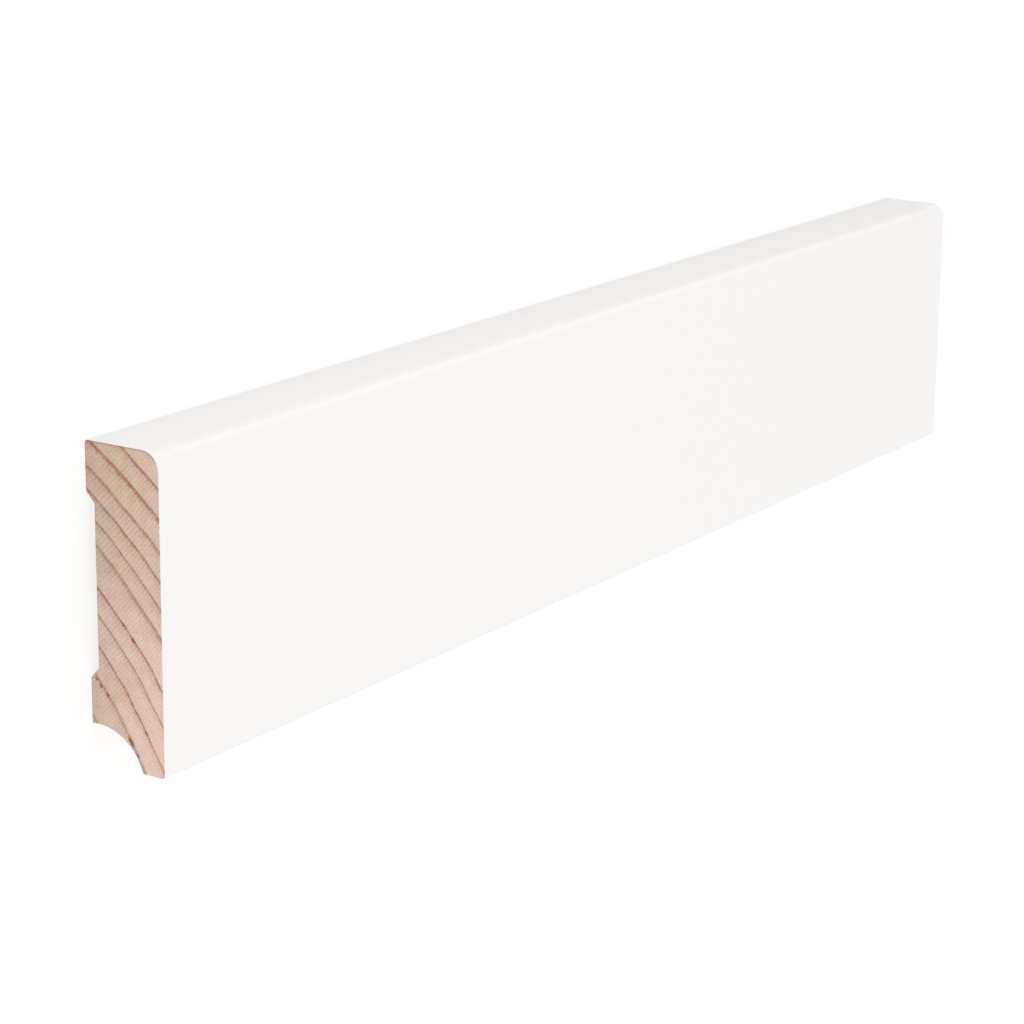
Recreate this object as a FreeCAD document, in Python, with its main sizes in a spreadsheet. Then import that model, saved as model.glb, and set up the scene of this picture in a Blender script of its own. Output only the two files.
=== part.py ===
# Skirting board length: a piece of moulded pine stock, lacquered white on its front and top edge.
# It is one solid, planed and moulded from one plank. Its section has a rounded top front edge,
# a shallow relief across the back between two lands, and a cove along the lower back for cables.
# The board lies on its back, as it rests unheld. X runs along its length, +Y points to its rounded
# top edge and +Z is the way its painted front faces. The origin is the middle of its footprint.
import FreeCAD, Part
import os

import Sketcher

# Driving dimensions in millimetres: name, value and what it measures
DRIVING_SIZES = [
    ("board_length", 300, "sawn end to sawn end"),
    ("board_height", 58, "bottom edge to top edge, once the board is on the wall"),
    ("board_thickness", 16, "wall face to painted front"),
    ("front_round_radius", 3.5, "rounding where the front meets the top edge"),
    ("eased_arris_radius", 0.5, "sanded arris at the top of the back and the foot of the front"),
    ("upper_land_height", 9, "flat that bears on the wall, down from the top edge"),
    ("lower_rail_height", 15.5, "bottom edge up to the lower end of the back relief"),
    ("back_relief_depth", 1.8, "how far the relief stands off the wall"),
    ("shoulder_run", 2, "height that each sloping end of the relief takes"),
    ("cove_radius", 10, "radius of the cutter that makes the cable cove"),
    ("cove_rise", 7.2, "bottom edge up to the highest point of the cove"),
    ("foot_width", 4.8, "flat left under the front, between the cove and the painted face"),
]

# How a sketch names its own two axes, and the points of a line or a circle
HORIZONTAL_AXIS, VERTICAL_AXIS = -1, -2
START, END, CENTRE = 1, 2, 3


def fill_sheet(doc):
    sheet = doc.addObject("Spreadsheet::Sheet", "sizes")
    for row, (name, value, meaning) in enumerate(DRIVING_SIZES, start=1):
        sheet.set(f"A{row}", name)
        sheet.set(f"B{row}", str(value))
        sheet.set(f"C{row}", meaning)
        sheet.setAlias(f"B{row}", name)
    doc.recompute()
    return sheet


def section_sketch(body, name):
    # A section is drawn across the board: its first axis is the board's Y and its second is Z
    sketch = body.newObject("Sketcher::SketchObject", name)
    plane = next(f for f in body.Origin.OriginFeatures if f.Role == "YZ_Plane")
    sketch.AttachmentSupport = [(plane, "")]
    sketch.MapMode = "FlatFace"
    return sketch


def bind(sketch, name, constraint, formula):
    # A dimension of the sketch that follows the sheet
    index = sketch.addConstraint(constraint)
    sketch.renameConstraint(index, name)
    sketch.setExpression(f"Constraints.{name}", formula)


def closed_outline(sketch, corners):
    # Straight lines from corner to corner and back to the first, joined end to end
    lines = []
    for start, end in zip(corners, corners[1:] + corners[:1]):
        segment = Part.LineSegment(FreeCAD.Vector(*start, 0), FreeCAD.Vector(*end, 0))
        lines.append(sketch.addGeometry(segment, False))
    for line, following in zip(lines, lines[1:] + lines[:1]):
        sketch.addConstraint(Sketcher.Constraint("Coincident", line, END, following, START))
    return lines


def plank(body, sheet):
    # The squared plank that the moulding is run from, centred on its length and its height
    sketch = section_sketch(body, "plank_section")
    half, depth = sheet.board_height / 2, sheet.board_thickness
    back, top, front, bottom = closed_outline(
        sketch, [(-half, 0), (half, 0), (half, depth), (-half, depth)]
    )
    sketch.addConstraint(Sketcher.Constraint("Symmetric", back, START, back, END, VERTICAL_AXIS))
    sketch.addConstraint(Sketcher.Constraint("Horizontal", front))
    for line in (top, bottom):
        sketch.addConstraint(Sketcher.Constraint("Vertical", line))
    sketch.addConstraint(Sketcher.Constraint("PointOnObject", back, START, HORIZONTAL_AXIS))
    height = Sketcher.Constraint("DistanceX", back, START, back, END, sheet.board_height)
    bind(sketch, "height", height, "sizes.board_height")
    thickness = Sketcher.Constraint("DistanceY", top, START, top, END, depth)
    bind(sketch, "thickness", thickness, "sizes.board_thickness")

    pad = body.newObject("PartDesign::Pad", "squared_plank")
    pad.Profile = sketch
    pad.SideType = "Symmetric"
    pad.setExpression("Length", "sizes.board_length")
    return pad


def cut_through(body, sketch, name):
    # Runs a cutter of that section along the whole board
    pocket = body.newObject("PartDesign::Pocket", name)
    pocket.Profile = sketch
    pocket.SideType = "Symmetric"
    pocket.Type = "ThroughAll"
    return pocket


def back_relief(body, sheet):
    # The shallow relief between the two lands, with a sloping shoulder at each end
    sketch = section_sketch(body, "relief_section")
    high = sheet.board_height / 2 - sheet.upper_land_height
    low = sheet.lower_rail_height - sheet.board_height / 2
    run, depth = sheet.shoulder_run, sheet.back_relief_depth
    mouth, upper_shoulder, floor, lower_shoulder = closed_outline(
        sketch, [(low, 0), (high, 0), (high - run, depth), (low + run, depth)]
    )
    origin = (HORIZONTAL_AXIS, START)
    for line in (mouth, floor):
        sketch.addConstraint(Sketcher.Constraint("Horizontal", line))
    sketch.addConstraint(Sketcher.Constraint("PointOnObject", mouth, START, HORIZONTAL_AXIS))
    upper_end = Sketcher.Constraint("DistanceX", *origin, mouth, END, high)
    bind(sketch, "upper_end", upper_end, "sizes.board_height / 2 - sizes.upper_land_height")
    lower_end = Sketcher.Constraint("DistanceX", mouth, START, *origin, -low)
    bind(sketch, "lower_end", lower_end, "sizes.board_height / 2 - sizes.lower_rail_height")
    upper_run = Sketcher.Constraint("DistanceX", upper_shoulder, END, upper_shoulder, START, run)
    bind(sketch, "upper_run", upper_run, "sizes.shoulder_run")
    lower_run = Sketcher.Constraint("DistanceX", lower_shoulder, END, lower_shoulder, START, run)
    bind(sketch, "lower_run", lower_run, "sizes.shoulder_run")
    relief_depth = Sketcher.Constraint("DistanceY", upper_shoulder, START, upper_shoulder, END, depth)
    bind(sketch, "relief_depth", relief_depth, "sizes.back_relief_depth")
    return cut_through(body, sketch, "back_relief")


def cable_cove(body, sheet):
    # A round cutter takes the lower back corner away and leaves the foot under the front
    sketch = section_sketch(body, "cove_section")
    radius, rise = sheet.cove_radius, sheet.cove_rise
    reach = (radius**2 - (radius - rise) ** 2) ** 0.5
    corner = FreeCAD.Vector(-sheet.board_height / 2, sheet.board_thickness - sheet.foot_width, 0)
    middle = corner + FreeCAD.Vector(rise - radius, -reach, 0)
    foot_corner = sketch.addGeometry(Part.Point(corner), True)
    cutter = sketch.addGeometry(Part.Circle(middle, FreeCAD.Vector(0, 0, 1), radius), False)
    origin = (HORIZONTAL_AXIS, START)
    below = Sketcher.Constraint("DistanceX", foot_corner, START, *origin, -corner.x)
    bind(sketch, "bottom_edge", below, "sizes.board_height / 2")
    foot = Sketcher.Constraint("DistanceY", *origin, foot_corner, START, corner.y)
    bind(sketch, "foot_corner", foot, "sizes.board_thickness - sizes.foot_width")
    bind(sketch, "radius", Sketcher.Constraint("Radius", cutter, radius), "sizes.cove_radius")
    drop = Sketcher.Constraint("DistanceX", cutter, CENTRE, foot_corner, START, radius - rise)
    bind(sketch, "drop", drop, "sizes.cove_radius - sizes.cove_rise")
    across = Sketcher.Constraint("DistanceY", cutter, CENTRE, foot_corner, START, reach)
    formula = "sqrt(sizes.cove_radius ^ 2 - (sizes.cove_radius - sizes.cove_rise) ^ 2)"
    bind(sketch, "across", across, formula)
    return cut_through(body, sketch, "cable_cove")


def edges_along_board(shape, y, z):
    # The names of the straight edges that run the board's length at that place in the section
    names = []
    for number, edge in enumerate(shape.Edges, start=1):
        ends = [FreeCAD.Vector(0, vertex.Point.y, vertex.Point.z) for vertex in edge.Vertexes]
        if all(end.isEqual(FreeCAD.Vector(0, y, z), 1e-4) for end in ends):
            names.append(f"Edge{number}")
    return names


def rounded_edge(body, name, base, places, size):
    # Rounds the long edges at those places of the section
    fillet = body.newObject("PartDesign::Fillet", name)
    edges = [edge for y, z in places for edge in edges_along_board(base.Shape, y, z)]
    if len(edges) != len(places):
        raise RuntimeError(f"{name}: {len(edges)} edges found for {len(places)} places")
    fillet.Base = (base, edges)
    fillet.setExpression("Radius", f"sizes.{size}")
    return fillet


def check(doc, body, features):
    # Every cut has to take wood away, and the board has to be one closed solid
    for thing in doc.Objects:
        if "Invalid" in thing.State or "Error" in thing.State:
            raise RuntimeError(f"{thing.Label} failed: {thing.State}")
    volumes = [feature.Shape.Volume for feature in features]
    if any(after >= before for before, after in zip(volumes, volumes[1:])):
        raise RuntimeError(f"a cut took nothing away: {volumes}")
    shape = body.Shape
    if shape.isNull() or not shape.isValid() or len(shape.Solids) != 1:
        raise RuntimeError(f"{body.Label} isn't one valid solid")
    print(f"{body.Label}: {shape.Volume / 1000:.1f} cm3, box {shape.BoundBox}")


def main():
    doc = FreeCAD.newDocument("skirting_board_length")
    sheet = fill_sheet(doc)
    body = doc.addObject("PartDesign::Body", "skirting_board")
    body.Label = "skirting_board"
    body.Placement = FreeCAD.Placement()

    features = [plank(body, sheet), back_relief(body, sheet), cable_cove(body, sheet)]
    doc.recompute()
    top, front = sheet.board_height / 2, sheet.board_thickness
    round_edge = [(top, front)]
    features.append(rounded_edge(body, "front_round", features[-1], round_edge, "front_round_radius"))
    doc.recompute()
    arrises = [(top, 0), (-top, front)]
    features.append(rounded_edge(body, "eased_arrises", features[-1], arrises, "eased_arris_radius"))
    body.Tip = features[-1]
    doc.recompute()

    check(doc, body, features)
    os.makedirs("parts", exist_ok=True)
    body.Shape.exportStep(f"parts/{body.Label}.step")


main()
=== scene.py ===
import math

import bmesh
import bpy
from mathutils import Matrix, Vector


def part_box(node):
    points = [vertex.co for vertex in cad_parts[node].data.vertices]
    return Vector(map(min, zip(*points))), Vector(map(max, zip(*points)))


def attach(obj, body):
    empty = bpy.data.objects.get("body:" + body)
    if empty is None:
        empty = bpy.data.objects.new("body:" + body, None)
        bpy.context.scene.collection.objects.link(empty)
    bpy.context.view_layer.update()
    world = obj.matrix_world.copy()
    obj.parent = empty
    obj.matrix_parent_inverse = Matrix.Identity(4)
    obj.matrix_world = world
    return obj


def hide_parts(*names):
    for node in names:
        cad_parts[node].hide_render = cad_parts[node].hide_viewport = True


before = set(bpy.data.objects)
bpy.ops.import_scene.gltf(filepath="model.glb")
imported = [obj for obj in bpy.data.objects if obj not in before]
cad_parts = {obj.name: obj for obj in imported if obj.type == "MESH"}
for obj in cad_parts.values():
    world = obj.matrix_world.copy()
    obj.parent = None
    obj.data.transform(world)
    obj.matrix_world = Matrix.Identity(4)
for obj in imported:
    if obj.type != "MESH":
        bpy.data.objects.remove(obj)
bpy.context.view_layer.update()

MM = 0.001

# The moulded section, with the same sizes as the solid
FRONT_ROUND = 3.5 * MM
EASED_ARRIS = 0.5 * MM
UPPER_LAND = 9 * MM
LOWER_RAIL = 15.5 * MM
RELIEF_DEPTH = 1.8 * MM
SHOULDER_RUN = 2 * MM
COVE_RADIUS = 10 * MM
COVE_RISE = 7.2 * MM
FOOT_WIDTH = 4.8 * MM
# The sharp edges that the moulding knives and a fine saw leave, worn just enough to catch the light
PLANED_ARRIS = 0.2 * MM
SAWN_ARRIS = 0.12 * MM
# The width of the darker rim round each sawn end
DARK_RIM_WIDTH = 0.3 * MM
# How many straight steps each curve is drawn in, and how far an edge turns before it is kept sharp
COVE_STEPS = 28
ROUND_STEPS = 18
ARRIS_STEPS = 5
WORN_STEPS = 2
SHARP_TURN = math.radians(25)

# The board's box, from the solid
LOW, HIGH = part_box("skirting_board")
NEAR_END, BOTTOM, WALL = LOW
FAR_END, TOP, FRONT = HIGH
LENGTH = FAR_END - NEAR_END

# The board's finishes, in the order of its materials
LACQUERED, SAWN, PLANED = range(3)

# The sheet that the board's colours are baked to, in pixels. Each side lies in a band of its own,
# given by the axis that the side faces along and whether it faces up it: the band's start, and its
# pixels to each mm
SHEET_PIXELS = 1024
SHEET_MARGIN = 8
SIDE_SCALE = 3.35
END_SCALE = 14.0
SIDE_BANDS = {
    (2, True): (8, SIDE_SCALE),
    (2, False): (214, SIDE_SCALE),
    (1, True): (420, SIDE_SCALE),
    (1, False): (485, SIDE_SCALE),
    (0, True): (550, END_SCALE),
    (0, False): (786, END_SCALE),
}

# The camera, fitted to the corners of the board in the photograph
CAMERA_PLACE = Vector((-534.5, 158.1, 339.2)) * MM
CAMERA_AIM = Vector((-29.7, -9.8, 8.0)) * MM
CAMERA_ROLL = math.radians(0.55)
LENS_MM = 108.5
SENSOR_MM = 36
CLIP_NEAR, CLIP_FAR = 0.01, 60

# The soft boxes: name, place, the point each faces, width, height and power in watts
SOFT_BOXES = [
    ("front_box", (0.0, -0.3, 0.75), (0.0, 0, 0), 0.7, 0.7, 1.33),
    ("top_edge_box", (-0.18, 0.38, 0.16), (-0.13, 0.03, 0.01), 0.4, 0.25, 0.25),
    ("far_box", (1.4, 1.1, 0.3), (-0.05, 0.03, 0.015), 0.6, 0.25, 2.2),
    ("near_end_box", (-0.9, -0.1, 0.16), (-0.15, 0, 0.01), 0.5, 0.25, 1.13),
    ("far_end_box", (0.95, -0.1, 0.1), (0.15, 0, 0.01), 0.5, 0.15, 0.2),
]
# How brightly the room lights the board, where white is 1
ROOM_LIGHT = 0.78
# The floor: how far it reaches, and how much of what the camera sees there is plain white, and how
# bright. The rest is a matt surface, which holds the board's shadow
FLOOR_REACH = 12
PLAIN_SHARE = 0.72
PLAIN_WHITE = 1.12

# The wood's colours: spring wood at its coolest and at its warmest, then summer wood at its
# brownest and at its reddest
SAWN_COLOURS = ("#C7AD9B", "#E2C8BA", "#94705C", "#B06F5A")
PLANED_COLOURS = ("#E2C9A8", "#E9D2B6", "#C2966A", "#BC8760")
# The resin in the rings, the sawn end's rim, the mist of lacquer on the back, the lacquer where it
# lies thinnest and where it lies thickest, and the floor
RESIN_COLOUR = "#8F5B4B"
DARK_RIM_COLOUR = "#9A7C6C"
MIST_COLOUR = "#F4F2EF"
LACQUER_COLOURS = ("#F5F3F1", "#F6F4F2")
FLOOR_COLOUR = "#E6E5E3"

# Where the growth rings come from: the tree's pith, in mm below and behind the board's near end,
# and how the stem leans away from the board's length
PITH_BELOW, PITH_BEHIND = 38.0, 63.0
PITH = Vector((NEAR_END, BOTTOM - PITH_BELOW * MM, WALL - PITH_BEHIND * MM))
PITH_LEAN = (0.0, math.radians(0.35), math.radians(-0.5))
# Each ring's outer edge as a distance from the pith in mm, the width of its dark summer wood in mm,
# how dark that is, and how red
RINGS = [
    (74.4, 0.60, 0.70, 0.5),
    (78.7, 0.50, 0.65, 0.3),
    (84.3, 0.75, 0.62, 0.5),
    (88.3, 0.48, 0.95, 0.6),
    (92.4, 0.45, 0.80, 0.4),
    (96.0, 0.58, 0.92, 0.6),
    (101.5, 0.90, 0.68, 0.35),
    (104.7, 0.48, 0.82, 0.3),
    (108.0, 0.62, 0.90, 0.45),
    (111.6, 0.80, 0.76, 0.25),
    (115.8, 0.82, 0.97, 0.45),
    (119.7, 0.68, 0.95, 0.7),
    (124.0, 0.60, 0.75, 0.6),
    (128.3, 0.60, 0.70, 0.5),
]
# The distances from the pith between which the rings are charted, in mm
RINGS_FROM = 70.0
RINGS_TO = 134.0
# The bends in the rings, in mm: how wide each is, how many times that long, and how far it sways
RING_BENDS = [(30.0, 6, 0.8), (7.0, 10, 0.7), (0.7, 20, 0.18)]
# The warmer and cooler patches of the spring wood: how wide in mm, and how strong
SPRING_PATCHES = [(14.0, 0.7), (2.5, 0.85)]
# How far the wood's red, green and blue each change from place to place
TINT_STRENGTH = 0.14
# How fast each pattern changes along the board, as a share of how fast it changes across it: the
# summer wood's streaks, the patches, the planed fibres, and the fibres that tell through lacquer
STREAKS_ALONG = 0.04
PATCHES_ALONG = 0.1
FIBRES_ALONG = 0.03
TELLING_ALONG = 0.02
# The middle value of a noise pattern
NOISE_MIDDLE = 0.5

# A round saw cut the ends as it travelled down the board's height, so its marks are all one arc. In
# mm: its blade's radius, how far behind the wall face its axle ran, how high above the bottom edge
# the axle stood where its travel is counted from, and how far it went from one tooth's mark to the
# next
SAW_RADIUS = 116.2
SAW_AXLE_BEHIND = 74.3
SAW_AXLE_ABOVE = 85.9
TOOTH_STEP = 1.104
# Towards the foot it slowed down, so more teeth passed: this many more in all by its travel's zero,
# and e times fewer at each of these distances before it
SLOWED_TEETH, SLOWED_OVER = 5.2, 11.4
# The marks' mean slant to the board's thickness, and how far each wanders, as a part of a step
SAW_SLANT = math.radians(45)
TOOTH_WANDER = 0.7
# How far the marks darken the sawn wood, and its brightness where there are none
MARK_DEPTH = -0.24
UNMARKED = 1.1

# Where resin has gathered in a ring: out from the wall, up from the bottom edge, and size, in mm.
# Each lump strays this far, and is this many times as long along its ring, which slants this far
# from the board's height
RESIN_STRAY = 0.9
RESIN_LENGTH = 1.45
RESIN_SLANT = math.radians(38)
RESIN = [
    (1.3, 15.4, 0.3),
    (2.2, 14.4, 0.32),
    (3.7, 13.0, 0.34),
    (8.9, 5.5, 0.7),
    (10.4, 3.3, 0.4),
    (9.6, 12.3, 0.35),
    (12.4, 7.7, 0.35),
    (7.8, 26.4, 0.35),
    (9.9, 24.0, 0.4),
]

# The back: the scallop that each turn of the planing knives left, and how far past an edge the
# lacquer's mist settled. The ends: how far down from the top edge the darker rim fades out
KNIFE_SCALLOP = 1.8 * MM
MIST_REACH = 3 * MM
RIM_FADE = 2.5 * MM


def linear(code):
    """An sRGB hex colour as linear red, green, blue and alpha."""
    channels = [int(code[i : i + 2], 16) / 255 for i in (1, 3, 5)]
    light = [c / 12.92 if c <= 0.04045 else ((c + 0.055) / 1.055) ** 2.4 for c in channels]
    return (*light, 1.0)


def add(tree, kind, inputs=None, **settings):
    """Adds a node with its settings. Each input holds a value, or reads a node or its socket."""
    node = tree.nodes.new("ShaderNode" + kind)
    for name, value in settings.items():
        setattr(node, name, value)
    for name, value in (inputs or {}).items():
        source = value.outputs[0] if isinstance(value, bpy.types.Node) else value
        if isinstance(source, bpy.types.NodeSocket):
            tree.links.new(source, node.inputs[name])
        else:
            node.inputs[name].default_value = source
    return node


def empty_material(name):
    material = bpy.data.materials.new(name)
    material.use_nodes = True
    material.node_tree.nodes.clear()
    return material, material.node_tree


def place_in_log(tree):
    """The place in millimetres from the tree's pith: along the stem, then across it."""
    inputs = {
        "Vector": add(tree, "TexCoord").outputs["Object"],
        "Location": PITH,
        "Rotation": PITH_LEAN,
        "Scale": (MM, MM, MM),
    }
    return add(tree, "Mapping", inputs, vector_type="TEXTURE")


def saw_marks(tree):
    """The fine arcs that the saw's teeth left, torn into short dashes by the wood's fibres: 0
    between the marks, and 1 in them."""
    inputs = {
        "Vector": add(tree, "TexCoord").outputs["Object"],
        "Location": (0, BOTTOM + SAW_AXLE_ABOVE * MM, WALL - SAW_AXLE_BEHIND * MM),
        "Scale": (MM, MM, MM),
    }
    place = add(tree, "Mapping", inputs, vector_type="TEXTURE")

    # How far the saw had travelled when its rim cut each place, and how many teeth had passed
    _, up, out = add(tree, "SeparateXYZ", {0: place}).outputs
    squared = add(tree, "Math", {0: out, 1: out}, operation="MULTIPLY")
    left = add(tree, "Math", {0: SAW_RADIUS**2, 1: squared}, operation="SUBTRACT")
    axle_above = add(tree, "Math", {0: left}, operation="SQRT")
    travel = add(tree, "Math", {0: up, 1: axle_above}, operation="ADD")
    slowing = add(tree, "Math", {0: travel, 1: -1 / SLOWED_OVER}, operation="MULTIPLY")
    slowed = add(tree, "Math", {0: slowing}, operation="EXPONENT")
    steady = add(tree, "Math", {0: travel, 1: TOOTH_STEP}, operation="DIVIDE")
    teeth = add(tree, "Math", {0: slowed, 1: -SLOWED_TEETH, 2: steady}, operation="MULTIPLY_ADD")

    # One wave for each tooth, which wanders a little over every few millimetres
    turned = add(tree, "Mapping", {"Vector": place, "Rotation": (SAW_SLANT, 0, 0)})
    slow = add(tree, "VectorMath", {0: turned, 1: (1, 1, 0.4)}, operation="MULTIPLY")
    wander = add(tree, "TexNoise", {"Vector": slow, "Scale": 0.2, "Detail": 2.0})
    phase = add(tree, "Math", {0: wander, 1: TOOTH_WANDER, 2: teeth}, operation="MULTIPLY_ADD")
    turn = add(tree, "Math", {0: phase, 1: math.tau}, operation="MULTIPLY")
    wave = add(tree, "Math", {0: turn}, operation="SINE")

    # The fibres' ends, about a quarter of a millimetre wide, tear the marks into dashes
    short = add(tree, "VectorMath", {0: turned, 1: (1, 1, 0.6)}, operation="MULTIPLY")
    torn = add(tree, "TexNoise", {"Vector": short, "Scale": 4.2, "Detail": 1.0})
    both = add(tree, "Math", {0: wave, 1: 0.08, 2: torn}, operation="MULTIPLY_ADD")
    span = {"Value": both, "From Min": 0.28, "From Max": 0.78}
    return add(tree, "MapRange", span, interpolation_type="SMOOTHSTEP")


def gathered_resin(tree, across):
    """How much resin has gathered, from 0 to 1 in the middle of each ragged lump."""
    # The raggedness changes over every 0.4 mm or so
    noise = add(tree, "TexNoise", {"Vector": across, "Scale": 2.6, "Detail": 1.0})
    stray = {0: noise.outputs["Color"], 1: (0, RESIN_STRAY, RESIN_STRAY), 2: across}
    strayed = add(tree, "VectorMath", stray, operation="MULTIPLY_ADD")
    along_ring = {
        "Vector": strayed,
        "Rotation": (-RESIN_SLANT, 0, 0),
        "Scale": (1, RESIN_LENGTH, 1),
    }
    drawn_out = add(tree, "Mapping", along_ring, vector_type="TEXTURE")
    mean_stray = RESIN_STRAY * NOISE_MIDDLE
    resin = 0.0
    for out, up, size in RESIN:
        middle = Vector((0, up + PITH_BELOW + mean_stray, out + PITH_BEHIND + mean_stray))
        middle.rotate(Matrix.Rotation(RESIN_SLANT, 3, "X"))
        middle.y /= RESIN_LENGTH
        away = add(tree, "VectorMath", {0: drawn_out, 1: middle}, operation="DISTANCE")
        near = {
            "Value": away.outputs["Value"],
            "From Min": size / 3,
            "From Max": size * 1.5,
            "To Min": 1.0,
            "To Max": 0.0,
        }
        lump = add(tree, "MapRange", near, interpolation_type="SMOOTHSTEP")
        resin = add(tree, "Math", {0: lump, 1: resin}, operation="MAXIMUM")
    return resin


def distance_from_pith(tree, log, across):
    """How far out in the tree each place is, in mm, along rings that bend to and fro."""
    distance = add(tree, "VectorMath", {0: across}, operation="LENGTH").outputs["Value"]
    for width, lengths, sway in RING_BENDS:
        long_way = add(tree, "VectorMath", {0: log, 1: (1 / lengths, 1, 1)}, operation="MULTIPLY")
        bend = add(tree, "TexNoise", {"Vector": long_way, "Scale": 1 / width, "Detail": 1.0})
        to_and_fro = add(tree, "Math", {0: bend, 1: NOISE_MIDDLE}, operation="SUBTRACT")
        bent = {0: to_and_fro, 1: sway, 2: distance}
        distance = add(tree, "Math", bent, operation="MULTIPLY_ADD")
    return distance


def ring_chart(tree, distance):
    """What grew at each distance from the pith: its ring's outer edge as a share of the chart, then
    the width, the darkness and the redness of that ring's summer wood."""
    span = RINGS_TO - RINGS_FROM
    along_chart = {"Value": distance, "From Min": RINGS_FROM, "From Max": RINGS_TO}
    chart = add(tree, "ValToRGB", {"Fac": add(tree, "MapRange", along_chart)})
    chart.color_ramp.interpolation = "CONSTANT"
    stops = chart.color_ramp.elements
    inner = RINGS_FROM
    for number, (outer, width, darkness, redness) in enumerate(RINGS):
        position = (inner - RINGS_FROM) / span
        # A new ramp holds two stops already
        stop = stops[number] if number < 2 else stops.new(position)
        stop.position = position
        stop.color = ((outer - RINGS_FROM) / span, width, darkness, redness)
        inner = outer
    return (*add(tree, "SeparateColor", {0: chart}).outputs, chart.outputs["Alpha"])


def summer_wood(tree, log, across, marks, resin):
    """How much of the dark summer wood shows, and how red it is. Each line of it starts at its
    ring's outer edge, is wider where resin has gathered, and fades towards the pith in streaks."""
    distance = distance_from_pith(tree, log, across)
    edge, width, darkness, redness = ring_chart(tree, distance)
    whole_chart = {0: edge, 1: RINGS_TO - RINGS_FROM, 2: RINGS_FROM}
    edge_mm = add(tree, "Math", whole_chart, operation="MULTIPLY_ADD")
    inside = add(tree, "Math", {0: edge_mm, 1: distance}, operation="SUBTRACT")

    # How far each line reaches in from its edge, in streaks about 0.8 mm wide, and how many times
    # that far in the place is
    long_way = add(tree, "VectorMath", {0: log, 1: (STREAKS_ALONG, 1, 1)}, operation="MULTIPLY")
    streaks = add(tree, "TexNoise", {"Vector": long_way, "Scale": 1.3, "Detail": 2.0})
    spread = add(tree, "Math", {0: streaks, 1: 0.5}, operation="ADD")
    reach = add(tree, "Math", {0: spread, 1: width}, operation="MULTIPLY")
    reach = add(tree, "Math", {0: resin, 1: 0.4, 2: reach}, operation="MULTIPLY_ADD")
    share = add(tree, "Math", {0: inside, 1: reach}, operation="DIVIDE")

    # A solid core, and outside it a feathered border that shows most in the saw's marks
    feather = {"Value": share, "From Min": 0.5, "From Max": 4.0, "To Min": 0.5, "To Max": 0.0}
    feathered = add(tree, "MapRange", feather, interpolation_type="SMOOTHSTEP")
    streaked = add(tree, "Math", {0: marks, 1: 0.6, 2: 0.15}, operation="MULTIPLY_ADD")
    feathered = add(tree, "Math", {0: feathered, 1: streaked}, operation="MULTIPLY")
    body = {"Value": share, "From Min": 0.5, "From Max": 1.5, "To Min": 1.0, "To Max": 0.0}
    core = add(tree, "MapRange", body, interpolation_type="SMOOTHSTEP")
    line = add(tree, "Math", {0: core, 1: feathered}, operation="MAXIMUM")
    soft_edge = {"Value": inside, "From Max": 0.2}
    outer_fade = add(tree, "MapRange", soft_edge, interpolation_type="SMOOTHSTEP")
    line = add(tree, "Math", {0: line, 1: outer_fade}, operation="MULTIPLY")

    # Each line is stronger in some patches, about 2 mm across, and a little stronger in the marks
    patches = add(tree, "TexNoise", {"Vector": long_way, "Scale": 0.5, "Detail": 2.0})
    uneven = {"Value": patches, "From Min": 0.3, "From Max": 0.62, "To Min": 0.45, "To Max": 0.85}
    strength = add(tree, "MapRange", uneven)
    strength = add(tree, "Math", {0: marks, 1: 0.25, 2: strength}, operation="MULTIPLY_ADD")
    strength = add(tree, "Math", {0: strength, 1: darkness}, operation="MULTIPLY")
    strength = add(tree, "Math", {0: strength, 1: resin}, operation="MAXIMUM")
    dark = add(tree, "Math", {0: line, 1: strength}, operation="MULTIPLY")

    # The last of the spring wood before each line is a little darker too
    ripening = {"Value": inside, "From Min": 0.2, "From Max": 2.4, "To Min": 0.07, "To Max": 0.0}
    late = add(tree, "MapRange", ripening, interpolation_type="SMOOTHSTEP")
    return add(tree, "Math", {0: dark, 1: late}, operation="ADD", use_clamp=True), redness


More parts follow.
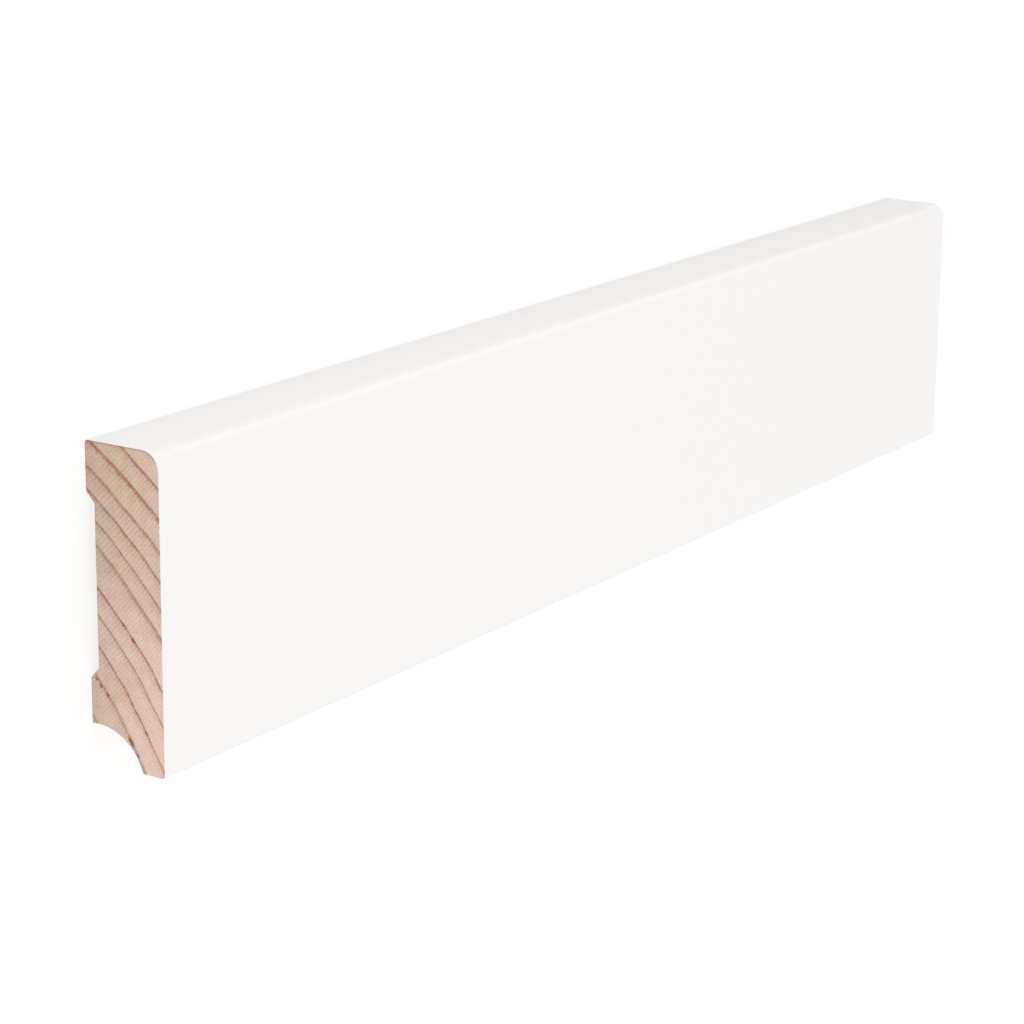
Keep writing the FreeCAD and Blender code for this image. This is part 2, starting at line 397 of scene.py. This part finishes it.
def pine_colour(tree, log, across, marks, resin, colours):
    """Pale spring wood, greyer at the top and the back and pinker towards the foot and the front,
    with the dark summer wood over it. Also says how much summer wood shows."""
    spring_cool, spring_warm, summer_brown, summer_red = [linear(code) for code in colours]
    coordinate = add(tree, "TexCoord").outputs["Object"]
    _, height, depth = add(tree, "SeparateXYZ", {0: coordinate}).outputs
    to_foot = {"Value": height, "From Min": TOP, "From Max": BOTTOM, "To Max": 0.6}
    to_front = {"Value": depth, "From Min": WALL, "From Max": FRONT, "To Max": 0.5}
    lower = add(tree, "MapRange", to_foot)
    outer = add(tree, "MapRange", to_front)
    warm = add(tree, "Math", {0: lower, 1: outer}, operation="ADD")
    long_way = add(tree, "VectorMath", {0: log, 1: (PATCHES_ALONG, 1, 1)}, operation="MULTIPLY")
    for size, change in SPRING_PATCHES:
        patches = add(tree, "TexNoise", {"Vector": long_way, "Scale": 1 / size, "Detail": 1.0})
        lighter = add(tree, "Math", {0: patches, 1: NOISE_MIDDLE}, operation="SUBTRACT")
        warm = add(tree, "Math", {0: lighter, 1: change, 2: warm}, operation="MULTIPLY_ADD")
    spring = add(tree, "Mix", {0: warm, 6: spring_cool, 7: spring_warm}, data_type="RGBA")

    dark, redness = summer_wood(tree, log, across, marks, resin)
    stain = add(tree, "TexNoise", {"Vector": long_way, "Scale": 0.5, "Detail": 2.0})
    turned_redder = add(tree, "Math", {0: stain, 1: NOISE_MIDDLE}, operation="SUBTRACT")
    reddened = {0: turned_redder, 1: 1.2, 2: redness}
    redder = add(tree, "Math", reddened, operation="MULTIPLY_ADD", use_clamp=True)
    summer = add(tree, "Mix", {0: redder, 6: summer_brown, 7: summer_red}, data_type="RGBA")
    grown = {0: dark, 6: spring.outputs[2], 7: summer.outputs[2]}
    wood = add(tree, "Mix", grown, data_type="RGBA")

    # Pinker, yellower and greener touches, a millimetre or two across
    change = (TINT_STRENGTH,) * 3
    least = (1 - TINT_STRENGTH * NOISE_MIDDLE,) * 3
    tints = {0: stain.outputs["Color"], 1: change, 2: least}
    tint = add(tree, "VectorMath", tints, operation="MULTIPLY_ADD")
    tinted = add(tree, "VectorMath", {0: wood.outputs[2], 1: tint}, operation="MULTIPLY")
    return tinted.outputs[0], dark


def sawn_pine():
    """Pine sawn across the grain: matt and open, so that its rings, the saw's fine marks and specks
    of resin all show. Its rim is darker near the top edge."""
    material, tree = empty_material("sawn_pine_end")
    log = place_in_log(tree)
    across = add(tree, "VectorMath", {0: log, 1: (0, 1, 1)}, operation="MULTIPLY")
    marks = saw_marks(tree)
    resin = gathered_resin(tree, across)
    wood, dark = pine_colour(tree, log, across, marks, resin, SAWN_COLOURS)

    shade = add(tree, "Math", {0: marks, 1: MARK_DEPTH, 2: UNMARKED}, operation="MULTIPLY_ADD")
    lined = add(tree, "VectorMath", {0: wood, "Scale": shade}, operation="SCALE")

    # Fine resin canals, about one to every two square millimetres, opened by the saw, and the deep
    # brown of resin in the dark lines
    canals = add(tree, "TexVoronoi", {"Vector": across, "Scale": 1.1, "Randomness": 1.0})
    opened = {"Value": canals, "From Min": 0.06, "From Max": 0.2, "To Min": 0.4, "To Max": 0.0}
    dots = add(tree, "MapRange", opened, interpolation_type="SMOOTHSTEP")
    few = add(tree, "Math", {0: canals.outputs["Color"], 1: 0.55}, operation="GREATER_THAN")
    dots = add(tree, "Math", {0: dots, 1: few}, operation="MULTIPLY")
    filled = add(tree, "Math", {0: resin, 1: dark}, operation="MULTIPLY")
    deep = add(tree, "Math", {0: filled, 1: dots}, operation="MAXIMUM")
    resinous = {0: deep, 6: lined.outputs[0], 7: linear(RESIN_COLOUR)}
    specked = add(tree, "Mix", resinous, data_type="RGBA")

    # A darker rim along the sawn end's outline, darkest at the top edge and gone a little way down
    # from it
    rim = add(tree, "Attribute", attribute_name="rim").outputs["Fac"]
    height = add(tree, "SeparateXYZ", {0: add(tree, "TexCoord").outputs["Object"]}).outputs[1]
    upper = {"Value": height, "From Min": TOP - RIM_FADE, "From Max": TOP, "To Max": 0.5}
    rim_darkening = add(tree, "Math", {0: rim, 1: add(tree, "MapRange", upper)}, operation="MULTIPLY")
    rimmed = {0: rim_darkening, 6: specked.outputs[2], 7: linear(DARK_RIM_COLOUR)}
    colour = add(tree, "Mix", rimmed, data_type="RGBA")

    # The hard summer wood stands a little proud, and the marks are cut into it
    relief = add(tree, "Math", {0: dark, 1: marks}, operation="SUBTRACT")
    bump = add(tree, "Bump", {"Height": relief, "Distance": 0.02 * MM, "Strength": 1.0})
    surface = {
        "Base Color": colour.outputs[2],
        "Roughness": 0.85,
        "IOR": 1.5,
        "Specular IOR Level": 0.3,
        "Normal": bump,
    }
    add(tree, "OutputMaterial", {"Surface": add(tree, "BsdfPrincipled", surface)})
    return material


def planed_pine():
    """Pine planed along the grain by rotating knives: smoother and yellower than the ends, with its
    rings as long lines, faint knife marks across it, and a mist of lacquer where the spray went
    over the edge."""
    material, tree = empty_material("planed_pine_back")
    log = place_in_log(tree)
    across = add(tree, "VectorMath", {0: log, 1: (0, 1, 1)}, operation="MULTIPLY")
    long_way = add(tree, "VectorMath", {0: log, 1: (FIBRES_ALONG, 1, 1)}, operation="MULTIPLY")
    fibres = add(tree, "TexNoise", {"Vector": long_way, "Scale": 2.5, "Detail": 3.0})
    wood, dark = pine_colour(tree, log, across, fibres, 0.0, PLANED_COLOURS)

    shade = add(tree, "Math", {0: fibres, 1: -0.16, 2: 1.08}, operation="MULTIPLY_ADD")
    lined = add(tree, "VectorMath", {0: wood, "Scale": shade}, operation="SCALE")

    # The mist of lacquer, thickest at the painted edges and broken into specks about 1 mm across
    coordinate = add(tree, "TexCoord").outputs["Object"]
    along, height, depth = add(tree, "SeparateXYZ", {0: coordinate}).outputs
    specks = add(tree, "TexNoise", {"Vector": coordinate, "Scale": 900.0, "Detail": 3.0})
    foot = FRONT - FOOT_WIDTH
    to_top = {"Value": height, "From Min": TOP - MIST_REACH, "From Max": TOP}
    to_foot = {"Value": depth, "From Min": foot - MIST_REACH, "From Max": foot}
    at_top = add(tree, "MapRange", to_top)
    at_foot = add(tree, "MapRange", to_foot)
    mist = add(tree, "Math", {0: at_top, 1: at_foot}, operation="MAXIMUM")
    settled = add(tree, "Math", {0: mist, 1: 1.3, 2: specks}, operation="MULTIPLY_ADD")
    thick = {"Value": settled, "From Min": 0.75, "From Max": 1.8, "To Max": 0.9}
    misted = {0: add(tree, "MapRange", thick), 6: lined.outputs[0], 7: linear(MIST_COLOUR)}
    sprayed = add(tree, "Mix", misted, data_type="RGBA")

    # The scallops that the knives left across the board, over the fibres' own relief
    turns = add(tree, "Math", {0: along, 1: math.tau / KNIFE_SCALLOP}, operation="MULTIPLY")
    scallops = add(tree, "Math", {0: turns}, operation="SINE")
    ridges = add(tree, "Math", {0: scallops, 1: 0.4, 2: fibres}, operation="MULTIPLY_ADD")
    relief = add(tree, "Math", {0: dark, 1: 0.8, 2: ridges}, operation="MULTIPLY_ADD")
    bump = add(tree, "Bump", {"Height": relief, "Distance": 0.01 * MM, "Strength": 1.0})
    surface = {
        "Base Color": sprayed.outputs[2],
        "Roughness": 0.55,
        "IOR": 1.5,
        "Normal": bump,
    }
    add(tree, "OutputMaterial", {"Surface": add(tree, "BsdfPrincipled", surface)})
    return material


def satin_lacquer():
    """White water-based lacquer, sprayed and rubbed down: a warm white with a soft sheen. The
    pine's fibres just tell through the film as hair-fine lines along the board."""
    material, tree = empty_material("white_satin_lacquer")
    coordinate = add(tree, "TexCoord").outputs["Object"]
    place = add(tree, "VectorMath", {0: coordinate, "Scale": 1 / MM}, operation="SCALE")
    long_way = add(tree, "VectorMath", {0: place, 1: (TELLING_ALONG, 1, 1)}, operation="MULTIPLY")
    # The fibres lie about 0.7 mm apart, and the spray's soft unevenness is about 1.4 mm across
    fibres = add(tree, "TexNoise", {"Vector": long_way, "Scale": 1.4, "Detail": 2.0})
    peel = add(tree, "TexNoise", {"Vector": place, "Scale": 0.7, "Detail": 2.0})
    body = add(tree, "MapRange", {"Value": peel, "From Min": 0.3, "From Max": 0.7})
    thinner, thicker = [linear(code) for code in LACQUER_COLOURS]
    colour = add(tree, "Mix", {0: body, 6: thinner, 7: thicker}, data_type="RGBA")
    rubbed = {"Value": peel, "From Min": 0.3, "From Max": 0.7, "To Min": 0.36, "To Max": 0.42}
    relief = add(tree, "Math", {0: peel, 1: 3.0, 2: fibres}, operation="MULTIPLY_ADD")
    bump = add(tree, "Bump", {"Height": relief, "Distance": 0.0015 * MM, "Strength": 1.0})
    surface = {
        "Base Color": colour.outputs[2],
        "Roughness": add(tree, "MapRange", rubbed),
        "IOR": 1.5,
        "Normal": bump,
    }
    add(tree, "OutputMaterial", {"Surface": add(tree, "BsdfPrincipled", surface)})
    return material


def line_on(shape, pencil, y, z):
    """Draws the outline on from the pencil's point to a place in the section."""
    drawn = bmesh.ops.extrude_vert_indiv(shape, verts=[pencil])
    tip = drawn["verts"][0]
    tip.co.y, tip.co.z = y, z
    return tip


def round_corner(shape, corner, radius, segments):
    bmesh.ops.bevel(
        shape,
        geom=[corner],
        offset=radius,
        offset_type="OFFSET",
        segments=segments,
        profile=0.5,
        affect="VERTICES",
        material=-1,
    )


def moulded_section(shape):
    """The board's section at its near end, drawn round from the foot's inner corner and filled."""
    cove_y = BOTTOM + COVE_RISE - COVE_RADIUS
    reach = math.sqrt(COVE_RADIUS**2 - (COVE_RADIUS - COVE_RISE) ** 2)
    cove_z = FRONT - FOOT_WIDTH - reach
    at_foot = math.atan2(BOTTOM - cove_y, reach)
    at_wall = math.acos((WALL - cove_z) / COVE_RADIUS)
    start = (NEAR_END, BOTTOM, FRONT - FOOT_WIDTH)
    foot_corner = bmesh.ops.create_vert(shape, co=start)["vert"][0]
    cove = bmesh.ops.spin(
        shape,
        geom=[foot_corner],
        cent=(NEAR_END, cove_y, cove_z),
        axis=(-1, 0, 0),
        angle=at_wall - at_foot,
        steps=COVE_STEPS,
    )
    cove_end = next(v for v in cove["geom_last"] if isinstance(v, bmesh.types.BMVert))
    relief_floor = WALL + RELIEF_DEPTH
    lower_land = line_on(shape, cove_end, BOTTOM + LOWER_RAIL, WALL)
    relief_low = line_on(shape, lower_land, BOTTOM + LOWER_RAIL + SHOULDER_RUN, relief_floor)
    relief_high = line_on(shape, relief_low, TOP - UPPER_LAND - SHOULDER_RUN, relief_floor)
    upper_land = line_on(shape, relief_high, TOP - UPPER_LAND, WALL)
    top_back = line_on(shape, upper_land, TOP, WALL)
    top_front = line_on(shape, top_back, TOP, FRONT)
    bottom_front = line_on(shape, top_front, BOTTOM, FRONT)
    bmesh.ops.contextual_create(shape, geom=[bottom_front, foot_corner])
    bmesh.ops.contextual_create(shape, geom=shape.edges[:])
    round_corner(shape, top_front, FRONT_ROUND, ROUND_STEPS)
    round_corner(shape, top_back, EASED_ARRIS, ARRIS_STEPS)
    round_corner(shape, bottom_front, EASED_ARRIS, ARRIS_STEPS)
    for corner in (lower_land, relief_low, relief_high, upper_land):
        round_corner(shape, corner, PLANED_ARRIS, WORN_STEPS)


def sawn_length(shape):
    """Runs the section along the board, breaks the sharp edges of its two sawn ends and sets a
    narrow rim round each. The rim attribute is 1 at the board's edges and 0 inside the rims."""
    swept = bmesh.ops.extrude_face_region(shape, geom=shape.faces[:])
    far = [v for v in swept["geom"] if isinstance(v, bmesh.types.BMVert)]
    bmesh.ops.translate(shape, verts=far, vec=(LENGTH, 0, 0))
    bmesh.ops.recalc_face_normals(shape, faces=shape.faces[:])
    ends = [e for e in shape.edges if abs(e.verts[0].co.x - e.verts[1].co.x) < SAWN_ARRIS]
    bmesh.ops.bevel(
        shape,
        geom=ends,
        offset=SAWN_ARRIS,
        offset_type="OFFSET",
        segments=WORN_STEPS,
        profile=0.5,
        affect="EDGES",
        material=-1,
    )
    rim = shape.verts.layers.float.new("rim")
    for vertex in shape.verts:
        vertex[rim] = 1.0
    inner = [f for f in shape.faces if abs(f.normal.x) > 0.99]
    bmesh.ops.inset_region(shape, faces=inner, thickness=DARK_RIM_WIDTH, use_even_offset=True)
    for face in inner:
        for vertex in face.verts:
            vertex[rim] = 0.0


def side_finish(face):
    """The lacquer covers the front, the top edge and the foot, and stops at the sawn ends and their
    broken edges. The back and the cove are bare planed wood."""
    if abs(face.normal.x) > 0.1:
        return SAWN
    middle = face.calc_center_median()
    on_foot = face.normal.y < -0.9 and middle.y < BOTTOM + EASED_ARRIS
    on_top = middle.y > TOP - 2 * EASED_ARRIS and face.normal.y > 0.1
    on_front = middle.z > FRONT - FRONT_ROUND and face.normal.z > 0.01
    return LACQUERED if on_foot or on_top or on_front else PLANED


def lay_out_sides(shape):
    """Lays the board's sides out flat on the sheet that its colours are baked to, in one band each.
    The sawn ends are drawn four times as large as the long sides, so their grain stays sharp."""
    sheet = shape.loops.layers.uv.new("OFBake")
    for face in shape.faces:
        sizes = [abs(part) for part in face.normal]
        facing = sizes.index(max(sizes))
        start, scale = SIDE_BANDS[facing, face.normal[facing] > 0]
        for loop in face.loops:
            x, y, z = (loop.vert.co - LOW) / MM
            along = SHEET_MARGIN + (y if facing == 0 else x) * scale
            up = start + (y if facing == 2 else z) * scale
            loop[sheet].uv = (along / SHEET_PIXELS, up / SHEET_PIXELS)


def board(materials):
    """The whole dressed board, in the place of the solid."""
    shape = bmesh.new()
    moulded_section(shape)
    sawn_length(shape)
    lay_out_sides(shape)
    for face in shape.faces:
        face.material_index = side_finish(face)
        face.smooth = True
    for edge in shape.edges:
        if edge.calc_face_angle(0) > SHARP_TURN:
            edge.smooth = False
    mesh = bpy.data.meshes.new("lacquered_board")
    shape.to_mesh(mesh)
    shape.free()
    for material in materials:
        mesh.materials.append(material)
    piece = bpy.data.objects.new("lacquered_board", mesh)
    bpy.context.scene.collection.objects.link(piece)
    even = piece.modifiers.new("flat_faces_stay_flat", "WEIGHTED_NORMAL")
    even.keep_sharp = True
    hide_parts("skirting_board")
    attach(piece, "root")


def is_seen(tree):
    """1 where the camera sees the place, straight or through gloss or glass, and 0 where it is only
    lit by it."""
    ray = add(tree, "LightPath").outputs
    direct = {0: ray["Is Camera Ray"], 1: ray["Is Glossy Ray"]}
    seen = add(tree, "Math", direct, operation="MAXIMUM")
    return add(tree, "Math", {0: ray["Is Transmission Ray"], 1: seen}, operation="MAXIMUM")


def pale_floor():
    """A matt white floor, seen for the most part as plain white, with the board's soft shadow."""
    material, tree = empty_material("pale_floor")
    matt = add(tree, "BsdfDiffuse", {"Color": linear(FLOOR_COLOUR)})
    plain = add(tree, "Emission", {"Color": (1, 1, 1, 1), "Strength": PLAIN_WHITE})
    share = add(tree, "Math", {0: is_seen(tree), 1: PLAIN_SHARE}, operation="MULTIPLY")
    mixed = add(tree, "MixShader", {0: share, 1: matt, 2: plain})
    add(tree, "OutputMaterial", {"Surface": mixed})
    shape = bmesh.new()
    bmesh.ops.create_grid(shape, x_segments=1, y_segments=1, size=FLOOR_REACH)
    mesh = bpy.data.meshes.new("floor")
    shape.to_mesh(mesh)
    shape.free()
    mesh.materials.append(material)
    floor = bpy.data.objects.new("floor", mesh)
    bpy.context.scene.collection.objects.link(floor)


def soft_box(name, place, aim, width, height, power):
    """A rectangle of soft white light that the camera doesn't see."""
    lamp = bpy.data.lights.new(name, "AREA")
    lamp.shape = "RECTANGLE"
    lamp.size, lamp.size_y = width, height
    lamp.energy = power
    box = bpy.data.objects.new(name, lamp)
    box.location = place
    box.rotation_euler = (Vector(aim) - Vector(place)).to_track_quat("-Z", "Y").to_euler()
    box.visible_camera = False
    bpy.context.scene.collection.objects.link(box)


def studio_light():
    """A pale room with soft boxes over the front, beside the top edge and before each sawn end, and
    one far off past the far end, which puts a soft line of light along the rounded edge."""
    world = bpy.data.worlds.new("studio")
    world.use_nodes = True
    tree = world.node_tree
    tree.nodes.clear()
    room = add(tree, "Background", {"Color": (1, 1, 1, 1), "Strength": ROOM_LIGHT})
    white = add(tree, "Background", {"Color": (1, 1, 1, 1), "Strength": 1.0})
    mixed = add(tree, "MixShader", {0: is_seen(tree), 1: room, 2: white})
    add(tree, "OutputWorld", {"Surface": mixed})
    bpy.context.scene.world = world
    for box in SOFT_BOXES:
        soft_box(*box)


def photo_camera():
    """Looks at the board's near end from where the photograph was taken, without shift."""
    lens = bpy.data.cameras.new("photo_camera")
    lens.lens = LENS_MM
    lens.sensor_width = SENSOR_MM
    lens.clip_start, lens.clip_end = CLIP_NEAR, CLIP_FAR
    camera = bpy.data.objects.new("photo_camera", lens)
    back = (CAMERA_PLACE - CAMERA_AIM).normalized()
    right = Vector((0, 1, 0)).cross(back).normalized()
    level = Matrix((right, back.cross(right), back)).transposed()
    rolled = level @ Matrix.Rotation(CAMERA_ROLL, 3, "Z")
    camera.matrix_world = Matrix.Translation(CAMERA_PLACE) @ rolled.to_4x4()
    bpy.context.scene.collection.objects.link(camera)
    bpy.context.scene.camera = camera


board([satin_lacquer(), sawn_pine(), planed_pine()])
pale_floor()
studio_light()
photo_camera()
bpy.context.scene.view_settings.view_transform = "Standard"
